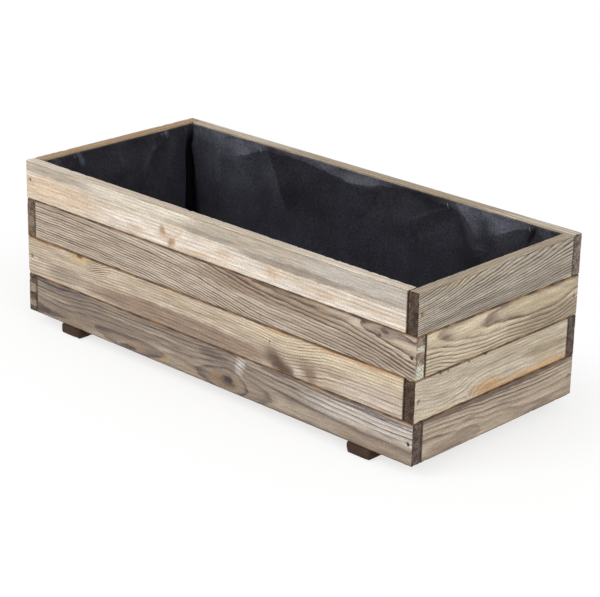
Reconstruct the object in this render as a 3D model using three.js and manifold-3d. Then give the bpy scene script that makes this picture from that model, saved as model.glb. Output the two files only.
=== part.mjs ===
// Window box planter: a pine crate of stacked boards on two feet, lined with black felt.
//
// Each course is a ring of four boards. Every board runs through at one end and butts at the
// other, so one shape of board serves all four sides. Every other ring is turned over, which
// makes the corners interlock. The feet are nailed up into the lowest ring, the floor boards lie
// on the feet, an upright in the middle of each long wall ties the rings together, and the liner
// hangs inside the walls.
//
// Millimetres, +Z up, +X along the length, the front at -Y. The origin is on the ground, under
// the middle of the box.

import * as THREE from 'three';
import { mergeVertices } from 'three/addons/utils/BufferGeometryUtils.js';
import Module from 'manifold-3d';

const wasm = await Module();
wasm.setup();

// ---------------------------------------------------------------- driving dimensions

const boxLength = 900;
const boxWidth = 400;
const courseCount = 4;
const seam = 0.3; // the gap left where two pieces meet

const wallBoard = { thickness: 20, height: 69.7, arris: 2 };
const foot = { width: 50, height: 20, arris: 4, inset: 110 }; // inset: box end to foot centre
const floorBoard = { width: 110, thickness: 18, arris: 2, leastGap: 5, sideRoom: 2, endRoom: 1 };
const upright = { width: 50, thickness: 12, arris: 1.5, belowRim: 20 };

const nail = { shank: 3, head: 6, headThickness: 1.2, point: 4, sunk: 1.5, clearance: 0.3 };
const longNailLength = 60; // corner nails and foot nails
const pointCover = 4; // wood left under the point of a floor nail or an upright's nail
const nailSides = 8;
const cutPast = 1; // how far a drilled hole is cut past the face that it starts from

const liner = {
  thickness: 1.2,
  belowRim: 3, // top edge of the felt below the rim
  standOff: 10, // how far the slack felt stands off its wall
  looseDrop: 24, // depth at which it does so midway between two staples
  tightDrop: 70, // and under a staple
  tuck: 18, // width of the tuck on each side of a corner
  leastTuck: 4, // and at the top edge
  shortTuckDrop: 35, // depth over which the tuck opens on one side of the corner
  longTuckDrop: 150, // and on the other
  tuckRoom: 0.5, // how far the bottom of the tuck stays off the walls
  heelRise: 14, // height of the soft bend from wall to floor
  uprightSlope: 22, // run over which the felt comes off the side of an upright
  bendPitch: 46, // distance along a wall between two bends
  leastBend: 12, // and at least this far from the bends beside an upright
};
// Places of the staples along each wall, as shares of its inside length from its first end.
const longWallStaples = [0.075, 0.272, 0.779, 0.97];
const shortWallStaples = [0.05, 0.22, 0.8, 0.95];

// ---------------------------------------------------------------- what follows from them

const coursePitch = wallBoard.height + seam;
const rimHeight = foot.height + courseCount * coursePitch;
const insideLength = boxLength - 2 * wallBoard.thickness;
const insideWidth = boxWidth - 2 * wallBoard.thickness;
const footCentre = boxLength / 2 - foot.inset;
const floorTop = foot.height + seam + floorBoard.thickness;
const uprightTop = rimHeight - upright.belowRim;
const floorNailLength = floorBoard.thickness + seam + foot.height - nail.sunk - pointCover;
const uprightNailLength = upright.thickness + seam + wallBoard.thickness - nail.sunk - pointCover;

// ---------------------------------------------------------------- colours

const timber = { roughness: 0.82, metalness: 0 };
const boardTones = {
  front: ['#bda88f', '#94836e', '#a8957c', '#7d6d5f'],
  right: ['#948974', '#a8966f', '#a5967d', '#80725f'],
  back: ['#8f8068', '#9b8b73', '#877864', '#8b7c69'],
  left: ['#a5845e', '#94866f', '#a09078', '#85765f'],
};
const innerTimber = { ...timber, color: '#a08d72' };
const footTimber = { ...timber, color: '#4d3829' };
const nailSteel = { color: '#3a3029', roughness: 0.6, metalness: 0.7 };
const blackFelt = { color: '#1f1f24', roughness: 0.9, metalness: 0, side: THREE.DoubleSide };

// ---------------------------------------------------------------- tools

function toSolid(geometry) {
  const bare = geometry.clone();
  bare.deleteAttribute('normal');
  bare.deleteAttribute('uv');
  const merged = mergeVertices(bare);
  return new wasm.Manifold(new wasm.Mesh({
    numProp: 3,
    vertProperties: new Float32Array(merged.attributes.position.array),
    triVerts: new Uint32Array(merged.index.array),
  }));
}

function toGeometry(solid) {
  const mesh = solid.getMesh();
  const geometry = new THREE.BufferGeometry();
  geometry.setAttribute('position', new THREE.BufferAttribute(mesh.vertProperties, 3));
  geometry.setIndex(new THREE.BufferAttribute(mesh.triVerts, 1));
  geometry.computeVertexNormals();
  return geometry;
}

function piece(name, geometry, finish) {
  const mesh = new THREE.Mesh(geometry, new THREE.MeshStandardMaterial(finish));
  mesh.name = name;
  return mesh;
}

function drill(geometry, holes) {
  let solid = toSolid(geometry);
  for (const hole of holes) solid = solid.subtract(toSolid(hole));
  return toGeometry(solid);
}

// Timber standing along +Z from 0, with its section from 0 to width in X and 0 to height in Y,
// and every arris and end rounded.
function standingTimber(length, width, height, arris) {
  const section = new THREE.Shape();
  section.absarc(width - arris, arris, arris, -Math.PI / 2, 0);
  section.absarc(width - arris, height - arris, arris, 0, Math.PI / 2);
  section.absarc(arris, height - arris, arris, Math.PI / 2, Math.PI);
  section.absarc(arris, arris, arris, Math.PI, Math.PI * 1.5);
  const geometry = new THREE.ExtrudeGeometry(section, {
    depth: length - 2 * arris,
    curveSegments: 1,
    bevelSegments: 2,
    bevelThickness: arris,
    bevelSize: arris,
    bevelOffset: -arris,
  });
  return geometry.translate(0, 0, arris);
}

// The same timber laid along +X, with its width in Y and its height in Z.
function lyingTimber(length, width, height, arris) {
  const lay = new THREE.Matrix4().set(0, 0, 1, 0, 1, 0, 0, 0, 0, 1, 0, 0, 0, 0, 0, 1);
  return standingTimber(length, width, height, arris).applyMatrix4(lay);
}

// ---------------------------------------------------------------- nails

// A nail along +Y, with its head at the sunk depth behind the face at y = 0.
function nailGeometry(length) {
  const end = nail.sunk + length;
  const underHead = nail.sunk + nail.headThickness;
  const profile = [
    new THREE.Vector2(0, nail.sunk),
    new THREE.Vector2(nail.head / 2, nail.sunk),
    new THREE.Vector2(nail.head / 2, underHead),
    new THREE.Vector2(nail.shank / 2, underHead),
    new THREE.Vector2(nail.shank / 2, end - nail.point),
    new THREE.Vector2(0, end),
  ];
  return new THREE.LatheGeometry(profile, nailSides);
}

function rod(radius, from, to) {
  return new THREE.CylinderGeometry(radius, radius, to - from, nailSides)
    .translate(0, (from + to) / 2, 0);
}

// The holes that a nail along +Y leaves in the piece that its head sits in.
function headHoles(pieceThickness) {
  return [
    rod(nail.shank / 2 + nail.clearance, -cutPast, pieceThickness + cutPast),
    rod(nail.head / 2 + nail.clearance, -cutPast, nail.sunk + nail.headThickness),
  ];
}

// The hole that it leaves in the piece behind, which starts at a given depth.
function pointHole(start, length) {
  const end = nail.sunk + length + nail.clearance;
  return rod(nail.shank / 2 + nail.clearance, start - cutPast, end);
}

// ---------------------------------------------------------------- walls

const outward = (geometry, x, y, z) => geometry.rotateZ(Math.PI).translate(x, y, z);
const upward = (geometry, x, y, z) => geometry.rotateX(Math.PI / 2).translate(x, y, z);
const downward = (geometry, x, y, z) => geometry.rotateX(-Math.PI / 2).translate(x, y, z);

// One wall board with its through end at the origin, its outer face at y = 0 and its middle
// height at z = 0, drilled for the nail in each of its two corner joints.
function wallBoardGeometry(length, moreHoles) {
  const { thickness, height, arris } = wallBoard;
  const board = lyingTimber(length, thickness, height, arris).translate(0, 0, -height / 2);
  const throughEnd = headHoles(thickness).map((hole) => hole.translate(thickness / 2, 0, 0));
  const buttedEnd = pointHole(thickness + seam, longNailLength)
    .translate(0, -thickness - seam, 0)
    .rotateZ(Math.PI / 2)
    .translate(length, thickness / 2, 0);
  return drill(board, [...throughEnd, buttedEnd, ...moreHoles]);
}

// The hole in a long board for the nail of its upright, which comes from inside the box.
function uprightNailHole() {
  const innerFace = wallBoard.thickness + seam + upright.thickness;
  const hole = pointHole(upright.thickness + seam, uprightNailLength);
  return outward(hole, boxLength / 2, innerFace, 0);
}

// The holes for the foot nails in the lower edge of a long board of the lowest course. A board
// that is turned over has its lower edge at the top of its own frame.
function footNailHoles(turnedOver) {
  const underFoot = wallBoard.height / 2 + seam + foot.height;
  return [foot.inset, boxLength - foot.inset].map((x) => {
    const hole = pointHole(foot.height + seam, longNailLength);
    const place = [x, wallBoard.thickness / 2];
    return turnedOver ? downward(hole, ...place, underFoot) : upward(hole, ...place, -underFoot);
  });
}

const shortBoard = wallBoardGeometry(boxWidth - wallBoard.thickness - seam, []);
const longNail = nailGeometry(longNailLength);
const uprightNail = nailGeometry(uprightNailLength);
const floorNail = nailGeometry(floorNailLength);

const courseMiddle = (course) => rimHeight - (course - 0.5) * coursePitch + seam / 2;

// One ring of four boards, each starting at its own corner, a quarter turn after the last.
function courseRing(course) {
  const ring = new THREE.Group();
  const turnedOver = course % 2 === 0;
  const footHoles = course === courseCount ? footNailHoles(turnedOver) : [];
  const longBoard = wallBoardGeometry(
    boxLength - wallBoard.thickness - seam,
    [uprightNailHole(), ...footHoles],
  );
  const [first, last] = turnedOver ? ['left', 'right'] : ['right', 'left'];
  const sides = [
    { name: 'front', corner: [-boxLength / 2, -boxWidth / 2], board: longBoard },
    { name: first, corner: [boxLength / 2, -boxWidth / 2], board: shortBoard },
    { name: 'back', corner: [boxLength / 2, boxWidth / 2], board: longBoard },
    { name: last, corner: [-boxLength / 2, boxWidth / 2], board: shortBoard },
  ];
  sides.forEach((side, quarter) => {
    const place = new THREE.Group();
    place.position.set(side.corner[0], side.corner[1], 0);
    place.rotation.z = quarter * Math.PI / 2;
    const tone = boardTones[side.name][(course - 1) % boardTones[side.name].length];
    place.add(piece(`${side.name}_board_${course}`, side.board, { ...timber, color: tone }));
    const driven = piece(`corner_nail_${side.name}_${course}`, longNail, nailSteel);
    driven.position.x = wallBoard.thickness / 2;
    place.add(driven);
    ring.add(place);
  });
  ring.position.z = courseMiddle(course);
  if (turnedOver) ring.rotation.y = Math.PI;
  return ring;
}

// ---------------------------------------------------------------- feet

function footBatten(end) {
  const group = new THREE.Group();
  const batten = lyingTimber(boxWidth, foot.width, foot.height, foot.arris)
    .rotateZ(Math.PI / 2)
    .translate(foot.width / 2, -boxWidth / 2, 0);
  const wallMiddle = (boxWidth - wallBoard.thickness) / 2;
  const holes = floorBoardPlaces().map((y) => (
    downward(pointHole(floorBoard.thickness + seam, floorNailLength), 0, y, floorTop)));
  for (const y of [-wallMiddle, wallMiddle]) {
    holes.push(...headHoles(foot.height).map((hole) => upward(hole, 0, y, 0)));
  }
  group.add(piece(`${end}_foot`, drill(batten, holes), footTimber));
  for (const [side, y] of [['front', -wallMiddle], ['back', wallMiddle]]) {
    group.add(piece(`foot_nail_${side}_${end}`, upward(longNail.clone(), 0, y, 0), nailSteel));
  }
  group.position.x = end === 'left' ? -footCentre : footCentre;
  return group;
}

// ---------------------------------------------------------------- floor

function floorBoardPlaces() {
  const room = insideWidth - 2 * floorBoard.sideRoom;
  const { width, leastGap } = floorBoard;
  const count = Math.floor((room + leastGap) / (width + leastGap));
  const pitch = (room - width) / (count - 1);
  return Array.from({ length: count }, (_, i) => (i - (count - 1) / 2) * pitch);
}

function floorBoards() {
  const group = new THREE.Group();
  const { width, thickness, arris, endRoom } = floorBoard;
  const length = insideLength - 2 * endRoom;
  const ends = [['left', -footCentre], ['right', footCentre]];
  floorBoardPlaces().forEach((y, i) => {
    const board = lyingTimber(length, width, thickness, arris)
      .translate(-length / 2, y - width / 2, foot.height + seam);
    const holes = ends.flatMap(([, x]) => (
      headHoles(thickness).map((hole) => downward(hole, x, y, floorTop))));
    group.add(piece(`floor_board_${i + 1}`, drill(board, holes), innerTimber));
    for (const [end, x] of ends) {
      const fixing = downward(floorNail.clone(), x, y, floorTop);
      group.add(piece(`floor_nail_${i + 1}_${end}`, fixing, nailSteel));
    }
  });
  return group;
}

// ---------------------------------------------------------------- uprights

// The back upright and its nails; the front one is the same, half a turn round.
function wallUpright(side) {
  const group = new THREE.Group();
  const { width, thickness, arris } = upright;
  const bottom = floorTop + seam;
  const wallFace = insideWidth / 2 - seam;
  const insideFace = wallFace - thickness;
  const standing = standingTimber(uprightTop - bottom, width, thickness, arris)
    .translate(-width / 2, insideFace, bottom);
  const holes = [];
  for (let course = 1; course <= courseCount; course++) {
    const z = courseMiddle(course);
    holes.push(...headHoles(thickness).map((hole) => hole.translate(0, insideFace, z)));
    const driven = uprightNail.clone().translate(0, insideFace, z);
    group.add(piece(`upright_nail_${side}_${course}`, driven, nailSteel));
  }
  group.add(piece(`${side}_upright`, drill(standing, holes), innerTimber));
  if (side === 'front') group.rotation.z = Math.PI;
  return group;
}

// ---------------------------------------------------------------- liner

const smooth = (t) => THREE.MathUtils.smoothstep(t, 0, 1);
const mix = THREE.MathUtils.lerp;

// 0 at a staple and 1 midway between two, for a place along a wall.
function slackness(along, wallLength, staples) {
  const places = [0, ...staples.map((share) => share * wallLength), wallLength];
  const next = places.findIndex((place) => place >= along);
  const start = places[Math.max(next - 1, 0)];
  const end = places[Math.max(next, 1)];
  return Math.sin(Math.PI * (along - start) / (end - start)) ** 2;
}

const uprightTopDepth = upright.belowRim - liner.belowRim;
const linerDepth = rimHeight - liner.belowRim - floorTop - seam;

// How far the felt stands off its wall at a place along it and a depth below its top edge.
function standOff(along, depth, wall) {
  const slack = slackness(along, wall.length, wall.staples);
  const drop = mix(liner.tightDrop, liner.looseDrop, slack);
  let off = seam + liner.standOff * smooth(depth / drop);
  if (wall.hasUpright) {
    const beside = Math.abs(along - wall.length / 2) - upright.width / 2 - seam;
    const aboveTop = Math.min(depth / (uprightTopDepth - liner.thickness), 1);
    const over = (upright.thickness + 2 * seam) * aboveTop;
    off = Math.max(off, mix(over, off, smooth(beside / liner.uprightSlope)));
  }
  return off;
}

// The levels at which the felt bends: down the wall, then round the heel between wall and floor.
const wallDepths = [
  0,
  (uprightTopDepth - liner.thickness) / 2,
  uprightTopDepth - liner.thickness,
  liner.looseDrop,
  (liner.looseDrop + liner.tightDrop) / 2,
  liner.tightDrop,
];
const heelAngles = [0, Math.PI / 4, Math.PI / 2];
const linerLevels = [
  ...wallDepths.map((depth) => ({ depth, inset: 0 })),
  ...heelAngles.map((angle) => ({
    depth: linerDepth - liner.heelRise * (1 - Math.sin(angle)),
    inset: liner.heelRise * (1 - Math.cos(angle)),
  })),
];

// Where the felt bends along a wall: at its two tucks, at an even pitch between them, and beside
// its upright.
function wallStations(wall, depth) {
  const run = wall.length - 2 * liner.tuck;
  const bends = Math.round(run / liner.bendPitch);
  const middle = wall.length / 2;
  const side = upright.width / 2 + seam;
  const clear = side + liner.uprightSlope;
  const startTuck = mix(liner.leastTuck, liner.tuck, smooth(depth / liner.shortTuckDrop));
  const endTuck = mix(liner.leastTuck, liner.tuck, Math.min(depth / liner.longTuckDrop, 1));
  const places = [startTuck, wall.length - endTuck];
  for (let i = 1; i < bends; i++) {
    const place = liner.tuck + run * i / bends;
    if (!wall.hasUpright || Math.abs(place - middle) > clear + liner.leastBend) {
      places.push(place);
    }
  }
  if (wall.hasUpright) places.push(middle - clear, middle - side, middle + side, middle + clear);
  return places.sort((a, b) => a - b);
}

const longWall = { length: insideLength, staples: longWallStaples, hasUpright: true };
const shortWall = { length: insideWidth, staples: shortWallStaples, hasUpright: false };

// The felt's outline at one level: along each wall, then into the tuck at the corner after it.
function linerLoop({ depth, inset }, skin) {
  const points = [];
  const tuckFloor = seam + inset + Math.min(depth, liner.tuckRoom);
  const floor = floorTop + seam + skin;
  const z = Math.max(rimHeight - liner.belowRim - depth, floor);
  [longWall, shortWall, longWall, shortWall].forEach((wall, quarter) => {
    const across = wall === longWall ? insideWidth : insideLength;
    const place = (along, off) => {
      const point = new THREE.Vector3(along - wall.length / 2, off + skin - across / 2, z);
      points.push(point.applyAxisAngle(new THREE.Vector3(0, 0, 1), quarter * Math.PI / 2));
    };
    for (const along of wallStations(wall, depth)) {
      place(along, standOff(along, depth, wall) + inset);
    }
    place(wall.length - tuckFloor - skin, tuckFloor);
  });
  return points;
}

function linerGeometry() {
  const vertices = [];
  const triangles = [];
  const rings = [];
  const addRing = (points) => {
    rings.push({ start: vertices.length, count: points.length });
    vertices.push(...points);
  };
  const bridge = (a, b) => {
    for (let i = 0; i < a.count; i++) {
      const j = (i + 1) % a.count;
      triangles.push(a.start + i, b.start + i, b.start + j, a.start + i, b.start + j, a.start + j);
    }
  };
  const cap = (ring, height, flip) => {
    const middle = vertices.length;
    vertices.push(new THREE.Vector3(0, 0, height));
    for (let i = 0; i < ring.count; i++) {
      const j = (i + 1) % ring.count;
      const [first, second] = flip ? [j, i] : [i, j];
      triangles.push(middle, ring.start + first, ring.start + second);
    }
  };
  for (const level of linerLevels) addRing(linerLoop(level, 0));
  for (const level of linerLevels) addRing(linerLoop(level, liner.thickness));
  const levels = linerLevels.length;
  for (let level = 0; level + 1 < levels; level++) {
    bridge(rings[level], rings[level + 1]);
    bridge(rings[levels + level + 1], rings[levels + level]);
  }
  bridge(rings[levels], rings[0]);
  cap(rings[levels - 1], floorTop + seam, true);
  cap(rings[2 * levels - 1], floorTop + seam + liner.thickness, false);
  const geometry = new THREE.BufferGeometry();
  geometry.setFromPoints(vertices);
  geometry.setIndex(triangles);
  geometry.computeVertexNormals();
  return geometry;
}

// ---------------------------------------------------------------- the whole planter

const planter = new THREE.Group();
for (let course = 1; course <= courseCount; course++) planter.add(courseRing(course));
planter.add(footBatten('left'), footBatten('right'));
planter.add(floorBoards());
planter.add(wallUpright('front'), wallUpright('back'));
planter.add(piece('liner', linerGeometry(), blackFelt));

export default planter;
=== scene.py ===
"""A window box planter: sixteen weathered pine boards on two dark feet, with a black felt liner.

Places are in the frame of the part: +X along the length, the front at -Y, the ground at z = 0. Sizes are
written in millimetres, and MM turns them to metres where a mesh or a bump is made.
"""

import math
from typing import NamedTuple

import bmesh
import bpy
import numpy as np
from mathutils import Euler, Matrix, Vector, noise


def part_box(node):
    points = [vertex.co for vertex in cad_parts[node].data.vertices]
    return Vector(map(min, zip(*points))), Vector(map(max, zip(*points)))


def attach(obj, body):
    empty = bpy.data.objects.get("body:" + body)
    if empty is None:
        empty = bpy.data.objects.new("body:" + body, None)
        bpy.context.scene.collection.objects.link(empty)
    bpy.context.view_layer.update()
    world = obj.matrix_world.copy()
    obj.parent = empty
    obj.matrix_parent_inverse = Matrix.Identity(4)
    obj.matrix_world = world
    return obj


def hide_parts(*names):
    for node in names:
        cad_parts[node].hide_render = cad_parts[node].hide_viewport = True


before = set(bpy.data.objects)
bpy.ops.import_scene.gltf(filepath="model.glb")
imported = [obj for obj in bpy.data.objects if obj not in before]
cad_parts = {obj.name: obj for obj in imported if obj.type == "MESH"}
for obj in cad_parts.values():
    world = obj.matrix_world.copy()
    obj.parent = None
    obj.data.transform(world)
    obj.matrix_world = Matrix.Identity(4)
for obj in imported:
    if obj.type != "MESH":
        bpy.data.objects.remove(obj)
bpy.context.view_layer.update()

MM = 0.001
SIDES = ("front", "right", "back", "left")
COURSES = (1, 2, 3, 4)


def in_mm(node):
    """The lowest and highest corner of a piece of the frame, in millimetres."""
    low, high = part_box(node)
    return np.array(low) / MM, np.array(high) / MM


# ---------------------------------------------------------------- sizes read from the frame

BOARD_LOW, BOARD_HIGH = in_mm("front_board_1")
RIM = BOARD_HIGH[2]
BOARD_THICKNESS = BOARD_HIGH[1] - BOARD_LOW[1]
HALF_WIDTH = -BOARD_LOW[1]
HALF_LENGTH = -BOARD_LOW[0]
LINER_LOW, LINER_HIGH = in_mm("liner")
NAIL_LOW, NAIL_HIGH = in_mm("corner_nail_front_1")
NAIL_HEAD = NAIL_HIGH[0] - NAIL_LOW[0]
NAIL_SUNK = NAIL_LOW[1] - BOARD_LOW[1]
UPRIGHT_LOW, UPRIGHT_HIGH = in_mm("back_upright")


# ---------------------------------------------------------------- colour and nodes

def tone(hex_value):
    """An sRGB hex value as the linear colour that a shader works in."""
    parts = [int(hex_value[i : i + 2], 16) / 255 for i in (1, 3, 5)]
    linear = [c / 12.92 if c <= 0.04045 else ((c + 0.055) / 1.055) ** 2.4 for c in parts]
    return (*linear, 1.0)


# Nodes that are used often, named for what they do: their kind, and the settings that make them do it.
OFTEN = {
    "Plus": ("Math", {"operation": "ADD"}),
    "Times": ("Math", {"operation": "MULTIPLY"}),
    "TimesPlus": ("Math", {"operation": "MULTIPLY_ADD"}),
    "Larger": ("Math", {"operation": "MAXIMUM"}),
    "Size": ("Math", {"operation": "ABSOLUTE"}),
    "Blend": ("Mix", {"data_type": "RGBA"}),
    "Shade": ("VectorMath", {"operation": "SCALE"}),
    "Shift": ("VectorMath", {"operation": "ADD"}),
    "Stretch": ("VectorMath", {"operation": "MULTIPLY"}),
    "StretchShift": ("VectorMath", {"operation": "MULTIPLY_ADD"}),
    "Length": ("VectorMath", {"operation": "LENGTH"}),
    "Ease": ("MapRange", {"interpolation_type": "SMOOTHSTEP"}),
}
NOISE = (0.3, 0.7)  # a noise lies mostly between these


def add(tree, kind, *values, ramp=None, named=None, **settings):
    """Adds a node with its settings and links, and returns it.

    Values go to its inputs in order, and named ones to the inputs of those names. Each is a number,
    a vector, a colour as a hex value, or a node or one of its outputs, which is linked.
    """
    kind, usual = OFTEN.get(kind, (kind, {}))
    made = tree.nodes.new("ShaderNode" + kind)
    for name, value in {**usual, **settings}.items():
        setattr(made, name, value)
    if ramp:
        stops = made.color_ramp.elements
        while len(stops) < len(ramp):
            stops.new(1.0)
        for stop, (position, colour) in zip(stops, ramp):
            stop.position = position
            stop.color = colour if isinstance(colour, tuple) else (colour, colour, colour, 1.0)
    used = [socket for socket in made.inputs if socket.enabled]
    given = list(zip(used, values))
    given += [(made.inputs[name], value) for name, value in (named or {}).items()]
    for socket, value in given:
        if isinstance(value, bpy.types.Node):
            value = next(output for output in value.outputs if output.enabled)
        if isinstance(value, bpy.types.NodeSocket):
            tree.links.new(value, socket)
        elif isinstance(value, str):
            socket.default_value = tone(value)[: len(socket.default_value)]
        else:
            socket.default_value = value
    return made


def new_material(name):
    """An empty material and its node tree."""
    material = bpy.data.materials.new(name)
    material.use_nodes = True
    material.node_tree.nodes.clear()
    return material, material.node_tree


def on_object(tree):
    """Places on the object, in millimetres."""
    return add(tree, "Shade", add(tree, "TexCoord").outputs["Object"], 1 / MM)


# ---------------------------------------------------------------- the look of timber

# How each side of the box turns so that its boards are seen from outside: first along to the
# right, then up, then out towards the eye.
TURNS = {"front": 0.0, "right": -math.pi / 2, "back": math.pi, "left": math.pi / 2}
REACH = {"front": HALF_WIDTH, "right": HALF_LENGTH, "back": HALF_WIDTH, "left": HALF_LENGTH}
STAIN_DEPTH = 60.0  # a stain goes deeper than any board is thick
END_PATCH = 500.0  # length of a patch on end grain, along the board
CREASE = (-0.04, 0.08)  # how sharply a crease cuts a patch off, in shares of its half height
HEART_UP = 400.0  # the ramp that holds a heart's path counts in shares of this height
HEART_IN = 100.0  # and of this depth
WANDER = 3.0  # how far the rings drift along a board
SHAKE = 1.6  # and from one finger's breadth to the next
UNEVEN = 0.6  # how much weaker the line of the poorest year is
SEASON = [(0.0, 0.1), (0.2, 0.0), (0.55, 0.3), (0.78, 0.9), (0.9, 1.0), (0.96, 0.7), (1.0, 0.1)]
TORN = (26.0, 8.0, 0.0)  # how far the outlines of stains are torn along and across the grain
DRY_WOOD = {"IOR": 1.5, "Specular IOR Level": 0.3}  # open fibres hold no gloss


def seen_from_outside(tree, side, out=None):
    """Places on a side of the box, in millimetres: along, up, and out from its outer face."""
    place = add(tree, "TexCoord").outputs["Object"]
    face = (0.0, 0.0, -(REACH[side] if out is None else out))
    return add(tree, "Mapping", place, face, (-math.pi / 2, TURNS[side], 0.0), (1 / MM,) * 3)


class Stain(NamedTuple):
    """A patch of another colour on a board's face. Sizes are in millimetres, seen from outside."""

    along: float
    up: float
    length: float
    height: float
    colour: str
    strength: float = 0.8
    slant: float = 0.0
    soft: float = 0.5


class Bend(NamedTuple):
    """A place where the grain swings round a knot, which pushes the rings this far (bulge)."""

    along: float
    up: float
    length: float
    height: float
    bulge: float
    slant: float = 0.0


def streaks(tree, at, along, across, detail=2.0):
    """Noise drawn out along the grain. Its spots are about this long and this wide, in millimetres."""
    drawn_out = add(tree, "Stretch", at, (1 / along, 1 / across, 1 / across))
    return add(tree, "TexNoise", drawn_out, 1.0, detail)


def spot(tree, at, along, up, length, height, slant=0.0, gradient="SPHERICAL", creased=False):
    """1 in the middle of an ellipse on a face, falling to 0 at its edge.

    A crease along its middle cuts it off, and keeps the half to the left of the way it slants.
    """
    turned = (0.0, 0.0, math.radians(slant))
    radii = (length / 2, height / 2, STAIN_DEPTH)
    inside = add(tree, "Mapping", at, (along, up, 0.0), turned, radii, vector_type="TEXTURE")
    share = add(tree, "TexGradient", inside, gradient_type=gradient)
    if not creased:
        return share
    aside = add(tree, "SeparateXYZ", inside).outputs["Y"]
    return add(tree, "Times", share, add(tree, "Ease", aside, *CREASE))


def from_edge(tree, value, low, high):
    """How far a value lies past the nearer end of a range. It is negative inside."""
    from_middle = add(tree, "Size", add(tree, "Plus", value, -(low + high) / 2))
    return add(tree, "Plus", from_middle, -(high - low) / 2)


def late_wood(tree, at, look):
    """The dark late wood of the growth rings, 0 to 1, where the board's surface cuts them.

    look["heart"] gives the path of the tree's heart: places along the board, with the height and the
    depth of the heart behind the face. A ring is everywhere at one distance from it, so the flames,
    the arches and the eyes of sawn pine come out of the way the heart nears the face.
    """
    along = add(tree, "SeparateXYZ", at)
    share = add(tree, "MapRange", along, -HALF_LENGTH, HALF_LENGTH)
    path = [
        ((place + HALF_LENGTH) / (2 * HALF_LENGTH), (0.0, up / HEART_UP, depth / HEART_IN, 1.0))
        for place, up, depth in look["heart"]
    ]
    heart = add(tree, "ValToRGB", share, ramp=path)
    heart.color_ramp.interpolation = "CARDINAL"
    across = add(tree, "Stretch", at, (0.0, 1.0, 1.0))
    radius = add(tree, "Length", add(tree, "StretchShift", heart, (0.0, -HEART_UP, HEART_IN), across))
    shake = look.get("shake", SHAKE)
    radius = add(tree, "TimesPlus", streaks(tree, at, 170.0, 45.0, 1.0), WANDER, radius)
    radius = add(tree, "TimesPlus", streaks(tree, at, 42.0, 13.0), shake, radius)
    for bend in look.get("bends", ()):
        inside = spot(tree, at, *bend[:4], bend.slant, "QUADRATIC_SPHERE")
        radius = add(tree, "TimesPlus", inside, bend.bulge, radius)
    radius = add(tree, "Plus", radius, look.get("phase", 0.0) - (WANDER + shake) / 2)
    ring = add(tree, "Math", radius, look["ring"], operation="DIVIDE")
    year = add(tree, "Math", ring, operation="FLOOR")
    growth = add(tree, "TexWhiteNoise", year, noise_dimensions="1D")
    season = add(tree, "ValToRGB", add(tree, "Math", ring, operation="FRACT"), ramp=SEASON)
    strength = add(tree, "TimesPlus", growth, -look.get("uneven", UNEVEN), 1.0)
    return add(tree, "Times", season, strength)


def line_strength(tree, at, torn_at, lines, look):
    """How dark the rings' lines are drawn: they break off here and there, and some stretches are bold."""
    unbroken = add(tree, "MapRange", streaks(tree, at, 70.0, 8.0, 3.0), 0.35, 0.65, 0.6, 1.15)
    strength = add(tree, "Times", add(tree, "Times", lines, unbroken), look["contrast"])
    for *ellipse, bolder in look.get("bold", ()):
        inside = spot(tree, torn_at, *ellipse)
        strength = add(tree, "Times", strength, add(tree, "TimesPlus", inside, bolder, 1.0))
    return strength


def silvered_ground(tree, at, torn_at, mottle, look):
    """The wood between the rings' lines: mottled, washed out in streaks, and stained."""
    ground = add(tree, "Blend", mottle, look["light"], look["shade"])
    wash = add(tree, "Ease", streaks(tree, at, 110.0, 6.5), 0.48, 0.68, 0.0, 0.6)
    ground = add(tree, "Blend", wash, ground, look.get("wash", look["shade"]))
    for stain in look.get("stains", ()):
        inside = spot(tree, torn_at, *stain[:4], stain.slant)
        share = add(tree, "Ease", inside, 0.0, stain.soft, 0.0, stain.strength)
        ground = add(tree, "Blend", share, ground, stain.colour)
    return ground


def surface_shade(tree, at, fibres, saw_marks):
    """How light the wood is by its raised fibres, its broader bands, the saw's marks and its fuzz."""
    bands = streaks(tree, at, 150.0, 7.0)
    fuzz = add(tree, "TexNoise", at, 1 / 3.0, 2.0)
    share = add(tree, "MapRange", fibres, *NOISE, 0.74, 1.2)
    for pattern, least, most in ((bands, 0.9, 1.08), (saw_marks, 0.97, 1.03), (fuzz, 0.84, 1.15)):
        share = add(tree, "Times", share, add(tree, "MapRange", pattern, *NOISE, least, most))
    return share


def end_grain(tree, at, torn_at, lines, near_seam, out, ends, look):
    """End grain drinks up the treatment, so it is far darker than the face, most of all at its edges."""
    patches = add(tree, "TexNoise", at, 1 / 10.0, 3.0)
    end = add(tree, "Shade", look["end"], add(tree, "MapRange", patches, 0.35, 0.65, 0.5, 1.5))
    for patch_up, height, colour in look.get("end_patches", ()):
        inside = spot(tree, torn_at, ends[1], patch_up, END_PATCH, height)
        end = add(tree, "Blend", add(tree, "Ease", inside, 0.1, 0.4, 0.0, 0.85), end, colour)
    near_face = add(tree, "Ease", from_edge(tree, out, -BOARD_THICKNESS, 0.0), -2.8, -0.6)
    share = add(tree, "TimesPlus", add(tree, "Larger", near_seam, near_face), -0.4, 1.0)
    share = add(tree, "Times", share, add(tree, "TimesPlus", lines, -0.35, 1.0))
    pores = add(tree, "MapRange", add(tree, "TexNoise", at, 0.5, 4.0), *NOISE, 0.2, 1.9)
    return add(tree, "Shade", end, add(tree, "Times", share, pores))


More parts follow.
